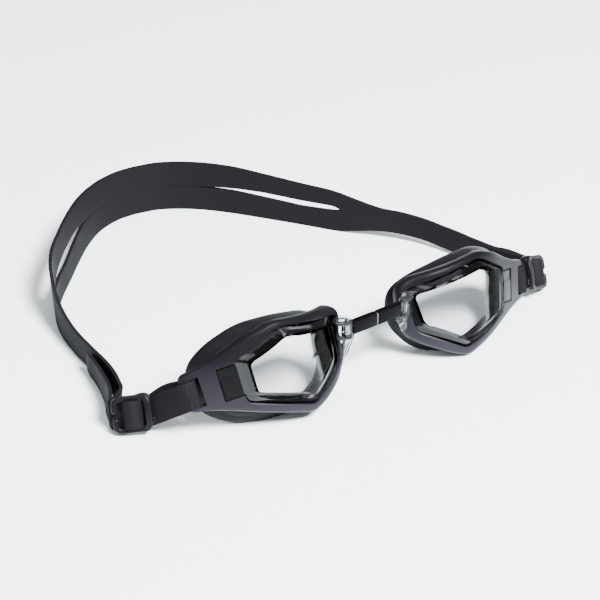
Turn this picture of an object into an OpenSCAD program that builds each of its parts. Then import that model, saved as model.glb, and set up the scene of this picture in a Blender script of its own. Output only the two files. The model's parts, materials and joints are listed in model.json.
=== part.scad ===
// Swim goggles lying on a flat surface, with their strap in a loop behind them.
// Each side is drawn in its own frame: x outward from the nose, y back, z up.

/* [Eyecups] */
// Distance from the middle of the nose to the start of each eyecup
cup_x = 16.4; // [14:0.2:19]
// Height of the eyecup's lower corner above the surface
cup_z = 9; // [8:0.2:11]
// Radius that the lens curves to from side to side
lens_radius = 36; // [34:1:42]
// Thickness of the clear lens
lens_wall = 1.6; // [1.2:0.1:2]
// Width of the soft rim around the lens
rim = 5.4; // [4.5:0.1:6]
// Wall of the face seal
seal_wall = 2.4; // [1.8:0.1:3]

/* [Nose bridge] */
// Distance from the middle of the nose to each hinge pin
pin_x = 15; // [14:0.5:16]
// Radius of the hinge pins
pin_r = 1.2; // [1:0.1:1.4]
// Running clearance around the hinge pins
pin_gap = 0.05; // [0.03:0.01:0.1]
// Height of the bridge bar
bar_h = 5.2; // [4.5:0.1:6]
// Thickness of the bridge bar
bar_t = 2.8; // [2.4:0.1:3.2]

/* [Strap] */
// Thickness of the strap
strap_t = 1.5; // [1.2:0.1:1.8]
// Width of the strap where it passes the buckles
strap_w = 11.6; // [11:0.1:12]
// Radius of the bar that the strap turns around on each arm
slot_bar_r = 1.4; // [1.2:0.1:1.6]

/* [Buckles] */
// Length of a buckle along the strap
buckle_l = 15.5; // [15:0.5:18]
// Thickness of a buckle
buckle_t = 3.4; // [3:0.1:3.8]
// Thickness of a buckle's upper and lower edge
buckle_edge = 1.3; // [1:0.1:1.5]

/* [Hidden] */
$fn = 64;
LEFT = 0;
RIGHT = 1;

// Middle of the footprint, where the origin lies
foot = [-1.9, 96.2];

// How each eyecup stands, left then right: turned in, leaning back, outer end down
cup_turn = [-5.5, -3.2];
cup_lean = [16.5, 19];
cup_roll = [5.2, 9.2];

// Outlines in the eyecup's own frame
lens_outline = [[0, 26], [4, 12], [23, 4.5], [46, 15], [45.3, 30], [30, 35.2]];
arm_outline = [[42, 7.6], [51, 11.6], [60, 15], [70, 16.2], [70, 30.8], [61, 32], [53, 36.4], [42, 40]];
seal_outline = [[-3.6, 26], [-3.6, 12], [6, 1.4], [20, -2], [36, -2], [51.4, 3.4], [59.6, 12.6],
                [59.4, 30.6], [51.8, 38.2], [38, 42], [22, 38.8], [5, 32.6]];
frame_front = [[-8, 11.4], [0, 10], [5, 7], [12, 4.4], [20, 3.2], [28, 3.6], [36, 5.8], [42, 8.6],
               [47, 11.4]];
frame_depth = 5;
lens_flange = 1;
mid_x = 25;
seal_radius = 60;
seal_mid = [22, 80];

// The arm runs on at a slant from the frame's outer side
arm_angle = 29;
arm_start = [47, 11.4];
arm_t = 3.4;
arm_l = 22.5;
arm_mid_z = 24.2;
slot_w = 2.8;
slot_h = 12.4;

// Hinge pins stand upright in the eyecups' lugs
pin_y = 13.7;
pin_z = 27.4;
lug_r = 2.5;
hook_h = 5;
ear_t = 1.6;
ear_gap = 0.15;

// How the strap's front loop and its buckle leave the arm, left then right
loop_turn = [34, 6];
loop_leg = [14, 3.2];
leg_gap = 0.06;
buckle_turn = [34, 18];
buckle_lean = [20, 24];
buckle_drop = [6, 20];
buckle_near = [[97.6, 31.5, 2.4], [90.4, 19.2, 6.1]];
buckle_h = strap_w + 0.8 + 2 * buckle_edge;
middle_bar_r = 1.1;
weave_t = 2 * strap_t;

// The strap's route over the surface: x, y, lower edge, width, lean outward,
// then the long split's lower edge and height, from station split_from on
route_left = [[105, 47.4, 2.6, 11, 10, 6, 0.6], [101.4, 52, 2.4, 11, 8, 6, 0.6],
              [97.8, 58, 2.2, 10.8, 5, 6, 0.6], [94.6, 66.5, 2, 10.6, 2, 6, 0.6],
              [92.4, 75.5, 1.6, 10.4, 0, 6, 0.6], [91, 88, 1, 10.6, 0, 6, 0.6],
              [88.8, 104.5, 0.4, 11.4, 0, 7, 0.6], [85.2, 120, 0, 15.2, -2, 9, 0.6],
              [79, 134, 0, 21.5, -4, 10.4, 0.8], [70, 145.5, 0, 24, -7, 10.2, 3],
              [58, 157.5, 0, 24.2, -9, 10.6, 2.4], [46, 169.5, 0, 24.2, -9, 11.6, 0.8],
              [34, 180.5, 0, 24.2, -7, 11.8, 0.5], [22, 188.8, 0, 24.2, -3, 11.8, 0.5],
              [10, 192.8, 0, 24.2, -1, 11.8, 0.5], [0, 193, 0, 24.2, 0, 11.8, 0.5]];
route_right = [[103.5, 37.5, 2.4, 10.8, 8, 7, 0.6], [99, 43.5, 2.2, 10.6, 6, 7, 0.6],
               [96.4, 51, 2, 10.6, 4, 7, 0.6], [95, 60, 2, 10.4, 2, 7, 0.6],
               [93.2, 70, 2, 10.4, 0, 7, 0.6], [91, 79, 2.2, 10.4, 0, 7, 0.6],
               [88, 87.5, 2.8, 10.6, 0, 7, 0.6], [83, 97, 3.4, 10.8, 0, 8, 0.6],
               [76.5, 106, 3.4, 11.6, 0, 8.4, 0.6],
               [69.5, 116, 1.4, 16.4, 0, 8.8, 0.8], [64, 124.6, 0, 20, 0, 8.8, 1.6],
               [56, 137.6, 0, 21, 0, 9.6, 3.2], [46, 153, 0, 22.6, 0, 10.8, 2.8],
               [36.5, 167, 0, 24, 0, 11.6, 2], [25.5, 180, 0, 24.2, 0, 11.8, 1.2],
               [12.5, 189.5, 0, 24.2, 0, 11.8, 0.6], [0, 193, 0, 24.2, 0, 11.8, 0.5]];
split_from = [8, 10];

// The free end lies outside the strap
tail_left = [[108.6, 48.6, 1.6, 10.8, 10], [105, 53.6, 1.4, 10.8, 8], [101.2, 60.4, 1.2, 10.6, 5],
             [98.2, 68, 1, 10.4, 2], [95.6, 76, 0.8, 10.2, 0], [93.4, 86, 0.6, 10, 0]];
tail_right = [[107, 38.6, 1.6, 10.8, 8], [102.4, 44.8, 1.2, 10.6, 6], [99.4, 52, 0.8, 10.4, 4],
              [97.4, 61, 0.6, 10.4, 2], [95.4, 71, 0.4, 10.2, 0], [93.4, 79.4, 0.2, 10, 0]];

strap_steps = 3;

// ---- Outlines and sweeps ----

function unit(v) = v / norm(v);
function edge_normal(a, b) = unit([b[1] - a[1], a[0] - b[0]]);

// Moves every side of an anticlockwise outline out by d
function grow(p, d) = [for (i = [0 : len(p) - 1])
    let (n1 = edge_normal(p[(i + len(p) - 1) % len(p)], p[i]),
         n2 = edge_normal(p[i], p[(i + 1) % len(p)]))
    p[i] + d * (n1 + n2) / (1 + n1 * n2)];

// Rounds every corner of an outline with a short curve
function rounded(p, r, n = 5) = [for (i = [0 : len(p) - 1])
    let (a = p[(i + len(p) - 1) % len(p)], b = p[i], c = p[(i + 1) % len(p)],
         ra = min(r, norm(a - b) * 0.45), rc = min(r, norm(c - b) * 0.45),
         s = b + ra * unit(a - b), e = b + rc * unit(c - b))
    for (k = [0 : n]) let (u = k / n) (1 - u) * (1 - u) * s + 2 * u * (1 - u) * b + u * u * e];

function spline(a, b, c, d, u) =
    0.5 * (2 * b + (c - a) * u + (2 * a - 5 * b + 4 * c - d) * u * u + (3 * b - a - 3 * c + d) * u * u * u);

// More stations along a route, on one smooth curve through its points
function smooth(p, steps) = let (n = len(p) - 1)
    concat([for (i = [0 : n - 1], k = [0 : steps - 1])
        spline(p[max(i - 1, 0)], p[i], p[i + 1], p[min(i + 2, n)], k / steps)], [p[n]]);

// The strap's direction at one station; it crosses the middle of the back squarely
function along(p, i) = let (n = len(p) - 1, a = p[max(i - 1, 0)], b = p[min(i + 1, n)])
    p[i][0] == 0 ? [-1, 0] : unit([b[0] - a[0], b[1] - a[1]]);

// Four corners of a flat strap at one station, between two heights across its width
function strap_ring(p, i, t, low, high) = let (s = p[i], side = [along(p, i)[1], -along(p, i)[0]],
    lean = -side * sin(s[4]), up = cos(s[4]))
    [for (c = [[1, low], [-1, low], [-1, high], [1, high]])
        [s[0] + c[0] * side[0] * t / 2 + lean[0] * c[1], s[1] + c[0] * side[1] * t / 2 + lean[1] * c[1],
         max(s[2], 0) + c[1] * up]];

// The four walls between ring number a and ring number b
function walls(a, b, sides = [0 : 3]) = [for (k = sides, h = [0, 1])
    h == 0 ? [4 * a + k, 4 * a + (k + 1) % 4, 4 * b + (k + 1) % 4]
           : [4 * a + k, 4 * b + (k + 1) % 4, 4 * b + k]];

function end_faces(a, flip) = flip ? [[4 * a + 2, 4 * a + 1, 4 * a], [4 * a + 3, 4 * a + 2, 4 * a]]
    : [[4 * a, 4 * a + 1, 4 * a + 2], [4 * a, 4 * a + 2, 4 * a + 3]];

// A flat strap on edge, swept along its route
module band(route, t, steps = strap_steps) {
    p = smooth(route, steps);
    n = len(p) - 1;
    points = [for (i = [0 : n]) each strap_ring(p, i, t, 0, p[i][3])];
    polyhedron(points,
        concat([for (i = [0 : n - 1]) each walls(i, i + 1)], end_faces(0, true), end_faces(n, false)),
        convexity = 10);
}

// The same, forked by the long split from ring number m on
module forked_band(route, t, m, steps = strap_steps) {
    p = smooth(route, steps);
    n = len(p) - 1;
    whole = [for (i = [0 : m - 1]) each strap_ring(p, i, t, 0, p[i][3])];
    lower = [for (i = [m : n]) each strap_ring(p, i, t, 0, p[i][5])];
    upper = [for (i = [m : n]) each strap_ring(p, i, t, p[i][5] + p[i][6], p[i][3])];
    run = n - m + 1;
    a = 4 * (m - 1);
    b = 4 * m;
    c = 4 * (m + run);
    fork = [[a, a + 1, b + 1], [a, b + 1, b], [a + 2, a + 3, c + 3], [a + 2, c + 3, c + 2],
            [a + 1, a + 2, c + 2], [a + 1, c + 2, c + 1], [a + 1, c + 1, b + 2], [a + 1, b + 2, b + 1],
            [a, b, b + 3], [a, b + 3, c], [a, c, c + 3], [a, c + 3, a + 3],
            [b + 2, c + 1, c], [b + 2, c, b + 3]];
    polyhedron(concat(whole, lower, upper), concat([for (i = [0 : m - 2]) each walls(i, i + 1)], fork,
        [for (i = [m : m + run - 2]) each concat(walls(i, i + 1), walls(i + run, i + run + 1))],
        end_faces(0, true), end_faces(m + run - 1, false), end_faces(m + 2 * run - 1, false)),
        convexity = 10);
}

// ---- Frames of reference ----

// Puts a side's own frame in the object's frame
module on_side(side) {
    translate([-foot[0], -foot[1], 0]) {
        if (side == LEFT) mirror([1, 0, 0]) children();
        else children();
    }
}

// The eyecup's frame within its side's frame
module in_cup(side) {
    translate([cup_x, 0, cup_z]) rotate([0, 0, cup_turn[side]])
        rotate([-cup_lean[side], 0, 0]) rotate([0, cup_roll[side], 0]) children();
}

// The arm's frame within the eyecup's: x along the arm, z up its slot bar
module on_arm() {
    translate([arm_start[0], arm_start[1], arm_mid_z]) rotate([0, 0, arm_angle]) children();
}

// The slot bar's frame: z along the bar, x towards the buckle
module on_bar(side) {
    in_cup(side) on_arm() translate([arm_l, arm_t / 2, 0])
        rotate([0, 0, loop_turn[side] - arm_angle - cup_turn[side]]) children();
}

// The buckle's frame: x outward along the strap, y back, z up from its lower edge
module on_buckle(side) {
    translate(buckle_near[side]) rotate([0, 0, buckle_turn[side]]) rotate([0, buckle_drop[side], 0])
        rotate([-buckle_lean[side], 0, 0]) children();
}

// A prism through the eyecup, drawn on its front
module through(outline, depth = 60) {
    translate([0, depth - 8, 0]) rotate([90, 0, 0]) linear_extrude(depth) polygon(outline);
}

// The layer between two depths behind the lens's curved front
module lens_layer(d1, d2) {
    difference() {
        translate([mid_x, lens_radius + d1, -20]) cylinder(h = 80, r = lens_radius, $fn = 128);
        translate([mid_x, lens_radius + d2, -21]) cylinder(h = 82, r = lens_radius, $fn = 128);
        translate([-40, lens_radius + d1, -22]) cube([140, 60, 84]);
    }
}

// ---- Eyecups ----

module lug(side) {
    // Two clear ears with the hinge pin between them, on the lens's nose side
    low = pin_z - hook_h / 2 - ear_gap - ear_t;
    for (z = [low, pin_z + hook_h / 2 + ear_gap]) translate([0, 0, z]) linear_extrude(ear_t) {
        translate([pin_x, pin_y]) circle(lug_r);
        polygon([[pin_x, pin_y - lug_r], [22, 14], [22.5, 18], [20, 19], [pin_x, pin_y + lug_r]]);
    }
    translate([pin_x, pin_y, low]) cylinder(h = hook_h + 2 * (ear_t + ear_gap), r = pin_r);
    // Web down the nose side of the frame
    translate([0, 16.8, 0]) rotate([90, 0, 0]) linear_extrude(1.6)
        polygon([[19.5, low + 10], [19.5, low + 1], [pin_x + 0.5, low + 1], [pin_x + 0.5, low],
                 [21.2, low - 4.6], [21.8, low - 4.6], [21.8, low + 10]]);
}

module lens(side) {
    color([0.86, 0.88, 0.9, 0.4]) on_side(side) {
        in_cup(side) {
            intersection() {
                through(rounded(lens_outline, 2.4));
                lens_layer(0, lens_wall);
            }
            difference() {
                union() {
                    intersection() {
                        through(rounded(lens_outline, 2.4));
                        lens_layer(0, 60);
                        frame_plan(-20, frame_depth);
                    }
                    intersection() {
                        through(rounded(grow(lens_outline, lens_flange), 3));
                        frame_plan(frame_depth - 1.2, frame_depth);
                    }
                }
                through(rounded(grow(lens_outline, -lens_wall), 1.8));
            }
        }
        lug(side);
    }
}

// Everything between two depths behind the frame's front surface
module frame_plan(d1, d2, front = frame_front) {
    back = [for (i = [len(front) - 1 : -1 : 0]) front[i] + [0, d2]];
    translate([0, 0, -20]) linear_extrude(80) polygon(concat([for (p = front) p + [0, d1]], back));
}

module frame(side) {
    color([0.3, 0.3, 0.33]) on_side(side) difference() {
        in_cup(side) union() {
            difference() {
                union() {
                    intersection() {
                        through(rounded(grow(lens_outline, rim), 6));
                        frame_plan(0, frame_depth);
                    }
                    intersection() {
                        on_arm() translate([-3, 0, -40]) cube([arm_l + 3, arm_t, 80]);
                        through(arm_outline);
                    }
                }
                through(rounded(grow(lens_outline, 0.1), 2.4));
                intersection() {
                    through(rounded(grow(lens_outline, lens_flange + 0.1), 3));
                    frame_plan(frame_depth - 1.25, 60);
                }
                on_arm() translate([arm_l - slot_bar_r - slot_w, -5, -slot_h / 2])
                    cube([40, 20, slot_h]);
                on_arm() translate([2.6, -5, -5.5]) cube([6.2, 5.8, 11.4]);
            }
            on_arm() {
                for (z = [-slot_h / 2 - 1.8, slot_h / 2 - 0.2])
                    translate([arm_l - slot_bar_r - slot_w - 1, 0, z])
                        cube([slot_bar_r + slot_w + 1, arm_t, 2]);
                for (z = [-slot_h / 2 - 1.8, slot_h / 2 - 0.2])
                    translate([arm_l, arm_t / 2, z]) cylinder(h = 2, r = arm_t / 2);
                translate([arm_l, arm_t / 2, -slot_h / 2 - 1]) cylinder(h = slot_h + 2, r = slot_bar_r);
            }
        }
        translate([pin_x, pin_y, pin_z - 6.4]) cylinder(h = 12.8, r = lug_r + 2.4);
        translate([pin_x - 2, 13, pin_z - 9.4]) cube([9.6, 6.1, 16]);
    }
}

module arm_panel(side) {
    color([0.16, 0.17, 0.18]) on_side(side) in_cup(side) on_arm()
        translate([2.7, 0.15, -5.4]) cube([6, 0.62, 11.2]);
}

// Its front flange lies on the frame's back, and its wall runs back to the face
module gasket(side) {
    front = concat(frame_front, [arm_start + 26 * [cos(arm_angle), sin(arm_angle)]]);
    back_of_frame = frame_depth + 0.05;
    color([0.1, 0.1, 0.11]) intersection() {
        on_side(side) in_cup(side) difference() {
            intersection() {
                through(rounded(seal_outline, 5, 3));
                frame_plan(back_of_frame, 60, front);
            }
            translate([seal_mid[0], seal_mid[1], -30]) cylinder(h = 100, r = seal_radius, $fn = 128);
            intersection() {
                through(rounded(grow(seal_outline, -seal_wall), 4, 3));
                frame_plan(back_of_frame + 2.2, 70, front);
            }
            intersection() {
                through(rounded(grow(lens_outline, lens_flange + 0.1), 3));
                frame_plan(-10, back_of_frame + 2.3, front);
            }
        }
        translate([-200, -200, 0]) cube([400, 400, 100]);
    }
}

// ---- Nose bridge ----

module nose_bridge() {
    core_h = bar_h - 1.8;
    core_t = bar_t - 1.4;
    color([0.85, 0.88, 0.9, 0.5]) on_side(RIGHT) difference() {
        union() {
            translate([-pin_x + 1, pin_y - core_t / 2, pin_z - core_h / 2])
                cube([2 * pin_x - 2, core_t, core_h]);
            for (s = [-1, 1]) translate([s * pin_x, pin_y, pin_z - hook_h / 2])
                cylinder(h = hook_h, r = lug_r - 0.1);
        }
        for (s = [-1, 1]) translate([s * pin_x, pin_y, 0]) cylinder(h = 60, r = pin_r + pin_gap);
    }
}

module bridge_sleeve(side) {
    core_h = bar_h - 1.8 + 0.06;
    core_t = bar_t - 1.4 + 0.06;
    color([0.05, 0.05, 0.06]) on_side(side) difference() {
        translate([0.35, pin_y - bar_t / 2, pin_z - bar_h / 2]) cube([pin_x - 4.4, bar_t, bar_h]);
        translate([-1, pin_y - core_t / 2, pin_z - core_h / 2]) cube([pin_x, core_t, core_h]);
    }
}

// ---- Strap and buckles ----

module strap_loop(side) {
    inner = slot_bar_r + 0.15;
    outer = inner + strap_t;
    leg = loop_leg[side];
    turn = [for (a = [90 : 15 : 270]) [cos(a), sin(a)]];
    back = [for (a = [270 : -15 : 90]) [cos(a), sin(a)]];
    color([0.2, 0.19, 0.21]) on_side(side) on_bar(side)
        translate([0, 0, -strap_w / 2]) linear_extrude(strap_w)
            polygon(concat([[leg, leg_gap + strap_t]], outer * turn,
                           [[leg, -leg_gap - strap_t], [leg, -leg_gap]], inner * back, [[leg, leg_gap]]));
}

module buckle(side) {
    color([0.13, 0.13, 0.15]) on_side(side) on_buckle(side) {
        difference() {
            translate([0, -buckle_t / 2, 0]) cube([buckle_l, buckle_t, buckle_h]);
            translate([2.4, -buckle_t, buckle_edge])
                cube([buckle_l - 4.2, 2 * buckle_t, buckle_h - 2 * buckle_edge]);
            translate([-1, 0, buckle_edge]) cube([5, buckle_t, buckle_h - 2 * buckle_edge]);
            translate([buckle_l - 3, 0, buckle_edge]) cube([5, buckle_t, buckle_h - 2 * buckle_edge]);
            translate([buckle_l - 3, -buckle_t, buckle_h / 2 - 1.2]) cube([5, 2 * buckle_t, 2.8]);
        }
        translate([buckle_l / 2, 0, 0.6]) cylinder(h = buckle_h - 1.2, r = middle_bar_r);
    }
}

module strap_turn(side) {
    back = 0.2;
    front = -middle_bar_r - 0.1;
    color([0.2, 0.19, 0.21]) on_side(side) on_buckle(side)
        translate([0, 0, (buckle_h - strap_w) / 2]) linear_extrude(strap_w)
            polygon([[0.8, back], [2.6, back], [buckle_l / 2 - 2, front - weave_t + 0.4],
                     [buckle_l / 2, front - weave_t], [buckle_l / 2 + 2, front - weave_t + 0.4],
                     [buckle_l - 2.2, back], [buckle_l + 0.5, back], [buckle_l + 0.5, back + weave_t],
                     [buckle_l - 1.6, back + weave_t], [buckle_l / 2 + 2.2, front + 0.9],
                     [buckle_l / 2 + 1.2, front], [buckle_l / 2 - 1.2, front],
                     [buckle_l / 2 - 2.2, front + 0.9], [1.8, back + weave_t], [0.8, back + weave_t]]);
}

module strap_tail(side) {
    color([0.2, 0.19, 0.21]) on_side(side) band(side == LEFT ? tail_left : tail_right, strap_t, 2);
}

module strap_half(side) {
    color([0.2, 0.19, 0.21]) on_side(side)
        forked_band(side == LEFT ? route_left : route_right, strap_t, split_from[side] * strap_steps);
}

nose_bridge();
bridge_sleeve(LEFT);  // left_bridge_sleeve
bridge_sleeve(RIGHT);  // right_bridge_sleeve
lens(LEFT);  // left_lens
lens(RIGHT);  // right_lens
frame(LEFT);  // left_frame
frame(RIGHT);  // right_frame
arm_panel(LEFT);  // left_arm_panel
arm_panel(RIGHT);  // right_arm_panel
gasket(LEFT);  // left_gasket
gasket(RIGHT);  // right_gasket
strap_loop(LEFT);  // left_strap_loop
strap_loop(RIGHT);  // right_strap_loop
buckle(LEFT);  // left_buckle
buckle(RIGHT);  // right_buckle
strap_turn(LEFT);  // left_strap_turn
strap_turn(RIGHT);  // right_strap_turn
strap_tail(LEFT);  // left_strap_tail
strap_tail(RIGHT);  // right_strap_tail
strap_half(LEFT);  // left_strap_half
strap_half(RIGHT);  // right_strap_half
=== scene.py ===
"""Swim goggles on a pale floor: soft frames, clear lenses, dark face seals and a split strap."""

import json
import math

import bmesh
import bpy
import numpy as np
from mathutils import Matrix, Vector

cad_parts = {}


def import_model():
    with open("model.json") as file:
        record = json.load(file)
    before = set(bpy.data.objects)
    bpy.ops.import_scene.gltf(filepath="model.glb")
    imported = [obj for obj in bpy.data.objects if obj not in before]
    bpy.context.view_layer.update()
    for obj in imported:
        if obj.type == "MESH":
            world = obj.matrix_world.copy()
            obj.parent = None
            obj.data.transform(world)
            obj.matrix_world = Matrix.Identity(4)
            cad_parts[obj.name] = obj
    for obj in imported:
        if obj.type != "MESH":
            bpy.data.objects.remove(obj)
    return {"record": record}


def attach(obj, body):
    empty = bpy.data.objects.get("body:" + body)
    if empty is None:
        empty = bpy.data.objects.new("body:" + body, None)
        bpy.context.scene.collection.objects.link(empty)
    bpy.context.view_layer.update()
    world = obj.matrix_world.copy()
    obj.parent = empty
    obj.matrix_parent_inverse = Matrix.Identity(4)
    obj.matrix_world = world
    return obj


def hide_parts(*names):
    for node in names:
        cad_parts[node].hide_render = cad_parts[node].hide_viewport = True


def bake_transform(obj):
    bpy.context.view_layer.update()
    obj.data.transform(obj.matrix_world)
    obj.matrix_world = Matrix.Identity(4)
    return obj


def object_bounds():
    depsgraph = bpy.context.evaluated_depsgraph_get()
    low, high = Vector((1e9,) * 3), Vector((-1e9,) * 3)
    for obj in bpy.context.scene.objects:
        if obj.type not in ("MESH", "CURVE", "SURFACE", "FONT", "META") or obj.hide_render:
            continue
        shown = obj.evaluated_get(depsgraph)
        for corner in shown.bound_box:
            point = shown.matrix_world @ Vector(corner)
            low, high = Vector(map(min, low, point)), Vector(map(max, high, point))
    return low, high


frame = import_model()
rest_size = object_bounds()

# ---- Frames of reference ----
# Shapes are written in millimetres from the middle of the nose on the floor. Each side has its own
# mirrored frame: x outward, y back, z up.

JOINTS = {j["name"]: j for j in frame["record"]["behaviour"]["joints"]}
# The hinge pin of the nose bridge in a side's frame
PIN = (15.0, 13.7, 27.4)
left_pin = Vector(JOINTS["left_cup_swing"]["pos_m"])
right_pin = Vector(JOINTS["right_cup_swing"]["pos_m"])
NOSE = (left_pin + right_pin) / 2 - Vector((0, PIN[1], PIN[2])) / 1000
SIDES = ("left", "right")
SIGN = {"left": -1, "right": 1}


def turned(axis, degrees):
    """A turn about one axis as a 3 by 3 array."""
    return np.array(Matrix.Rotation(math.radians(degrees), 3, axis))


# Where each eyecup's, buckle's and arm's own frame stands, and how it is turned
CUP_AT = {"left": np.array([16.4, 0.0, 9.5]), "right": np.array([16.4, 0.0, 8.2])}
CUP_TURN = {
    "left": turned("Z", -5.5) @ turned("X", -16.5) @ turned("Y", 5.2),
    "right": turned("Z", -3.2) @ turned("X", -19) @ turned("Y", 10.4),
}
BUCKLE_AT = {"left": np.array([97.6, 31.5, 2.4]), "right": np.array([90.4, 19.2, 6.1])}
BUCKLE_TURN = {
    "left": turned("Z", 34) @ turned("Y", 6) @ turned("X", -20),
    "right": turned("Z", 18) @ turned("Y", 20) @ turned("X", -24),
}
ARM_AT = np.array([47.0, 11.4, 24.2])
ARM_SWEEP = 29
ARM_TURN = turned("Z", ARM_SWEEP)


def world(side, p):
    """Points of a side's frame, in millimetres, as metres in the row frame."""
    p = np.asarray(p, float).reshape(-1, 3) * (SIGN[side], 1, 1)
    return p / 1000 + np.array(NOSE)


def from_cup(side, p):
    """Points of an eyecup's frame in its side's frame."""
    return np.asarray(p, float).reshape(-1, 3) @ CUP_TURN[side].T + CUP_AT[side]


def from_arm(p):
    """Points of an arm's frame in its eyecup's frame."""
    return np.asarray(p, float).reshape(-1, 3) @ ARM_TURN.T + ARM_AT


def on_arm(side, p):
    """Points of an arm's own frame, in millimetres, as metres in the row frame."""
    return world(side, from_cup(side, from_arm(p)))


def from_buckle(side, p):
    """Points of a buckle's frame in its side's frame."""
    return np.asarray(p, float).reshape(-1, 3) @ BUCKLE_TURN[side].T + BUCKLE_AT[side]


# ---- Outlines ----

# Corners of the lens, the frame with its arm, and the seal, seen from the front: x and z of the eyecup
LENS = [(0, 26), (4, 12), (23, 4.5), (46, 15), (46.2, 30.2), (30, 36)]
FRAME = [(-6, 28.8), (-5.4, 18.6), (-2.4, 8.6), (5, 4.2), (15.8, 0.2), (24.5, -1.8), (34, 2.4), (45.5, 7.6),
         (52, 10.8), (59, 14), (64, 15.8), (68.4, 16.4), (68.4, 32.6), (62, 33.2), (53, 35.6), (42, 39.8),
         (31, 41.6), (14, 36.8), (-1, 32.8)]
SEAL = [(-3.6, 26), (-3.6, 12), (6, 1.4), (20, -2), (36, -2), (52, 3.6), (60.5, 12.8),
        (60.2, 30.6), (52, 38.4), (38, 42), (22, 38.8), (5, 32.6)]
# The point inside all three from which they are measured
CENTRE = np.array([25.0, 19.0])
# The lens's wall flares out by the skirt and lies the seat's depth behind the frame's front
SKIRT = 2.6
SEAT = 1.0
# How far behind the lens's front its edge, the back of its window and the ledge round that lie
EDGE, WINDOW, LEDGE = 0.85, 1.45, 1.9
# How far behind the frame's front the lens's flange and the seal lie
FLANGE, SEAL_SEAT = 4.8, 5.05
# How deep the frame's front lies at each x, up to where the arm begins
FRONT = np.array([(-9, 11.6), (0, 10), (5, 7), (12, 4.4), (20, 3.2), (28, 3.6), (36, 5.8), (42, 8.6),
                  (47, 11.4)])


def grown(p, d):
    """An outline with its sides moved out by d."""
    p = np.asarray(p, float)
    before, after = p - np.roll(p, 1, 0), np.roll(p, -1, 0) - p
    n1 = np.stack([before[:, 1], -before[:, 0]], 1) / np.linalg.norm(before, axis=1)[:, None]
    n2 = np.stack([after[:, 1], -after[:, 0]], 1) / np.linalg.norm(after, axis=1)[:, None]
    return p + d * (n1 + n2) / (1 + (n1 * n2).sum(1))[:, None]


def rounded(p, r, n=6):
    """An outline with its corners rounded in n steps."""
    p, out = np.asarray(p, float), []
    for i, b in enumerate(p):
        a, c = p[i - 1], p[(i + 1) % len(p)]
        la, lc = np.linalg.norm(a - b), np.linalg.norm(c - b)
        s, e = b + (a - b) * min(r / la, 0.48), b + (c - b) * min(r / lc, 0.48)
        out += [(1 - u) ** 2 * s + 2 * u * (1 - u) * b + u * u * e for u in np.linspace(0, 1, n + 1)]
    return np.array(out)


TINY = 1e-9


def reach(outline, angles):
    """Where rays from the centre leave an outline."""
    a, b = outline, np.roll(outline, -1, 0)
    out = []
    for t in angles:
        d = np.array([math.cos(t), math.sin(t)])
        e = b - a
        den = d[0] * e[:, 1] - d[1] * e[:, 0]
        w = a - CENTRE
        with np.errstate(divide="ignore", invalid="ignore"):
            r = (w[:, 0] * e[:, 1] - w[:, 1] * e[:, 0]) / den
            u = (w[:, 0] * d[1] - w[:, 1] * d[0]) / den
        ok = (u >= -TINY) & (u <= 1 + TINY) & (r > 0)
        out.append(CENTRE + r[ok].max() * d)
    return np.array(out)


def evenly(outline, step):
    """The angles at which an outline is met every step millimetres along it."""
    closed = np.vstack([outline, outline[:1]])
    length = np.r_[0, np.cumsum(np.linalg.norm(np.diff(closed, axis=0), axis=1))]
    at = np.linspace(0, length[-1], int(length[-1] / step), endpoint=False)
    pts = np.stack([np.interp(at, length, closed[:, k]) for k in (0, 1)], 1) - CENTRE
    return np.sort(np.arctan2(pts[:, 1], pts[:, 0]))


def frame_front(x):
    """Depth of the frame's front, which runs on along the arm."""
    x = np.asarray(x, float)
    fine = np.linspace(FRONT[0, 0], ARM_AT[0], 57)
    padded = np.pad(np.interp(fine, FRONT[:, 0], FRONT[:, 1]), 3, "reflect", reflect_type="odd")
    soft = np.convolve(padded, np.ones(7) / 7, "valid")
    along_arm = ARM_AT[1] + (x - ARM_AT[0]) * math.tan(math.radians(ARM_SWEEP))
    return np.where(x > ARM_AT[0], along_arm, np.interp(x, fine, soft))


def lens_front(x):
    """Depth of the lens's front, which curves more towards the temple."""
    x = np.asarray(x, float)
    r = np.where(x > CENTRE[0], 31.0, 36.0)
    return r - np.sqrt(np.maximum(r ** 2 - (x - CENTRE[0]) ** 2, 0))


def seal_back(x):
    """Depth of the face seal's back edge, curved round the face."""
    return 80 - np.sqrt(60.0 ** 2 - (np.asarray(x, float) - 22) ** 2)


# ---- Meshes ----


def placed(name, data):
    """A new object of the scene."""
    obj = bpy.data.objects.new(name, data)
    bpy.context.scene.collection.objects.link(obj)
    return obj


def finish_mesh(name, verts, faces, smooth=35, marks=None):
    """A smooth-shaded object. Marks gives the material slot, 0 or 1, of each face."""
    mesh = bpy.data.meshes.new(name)
    mesh.from_pydata([tuple(v) for v in verts], [], faces)
    if marks:
        mesh.materials.append(None)
        mesh.materials.append(None)
        mesh.polygons.foreach_set("material_index", marks)
    obj = placed(name, mesh)
    tidy_mesh(obj, smooth)
    return obj


def tidy_mesh(obj, smooth=35, outward=True):
    """Merge doubled points, face the surface outward and smooth it below the given angle."""
    bm = bmesh.new()
    bm.from_mesh(obj.data)
    bmesh.ops.remove_doubles(bm, verts=bm.verts, dist=1e-6)
    bmesh.ops.dissolve_degenerate(bm, edges=bm.edges, dist=1e-7)
    if outward:
        bmesh.ops.recalc_face_normals(bm, faces=bm.faces)
    bm.to_mesh(obj.data)
    bm.free()
    obj.data.polygons.foreach_set("use_smooth", [True] * len(obj.data.polygons))
    obj.data.set_sharp_from_angle(angle=math.radians(smooth))
    obj.data.update()


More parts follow.
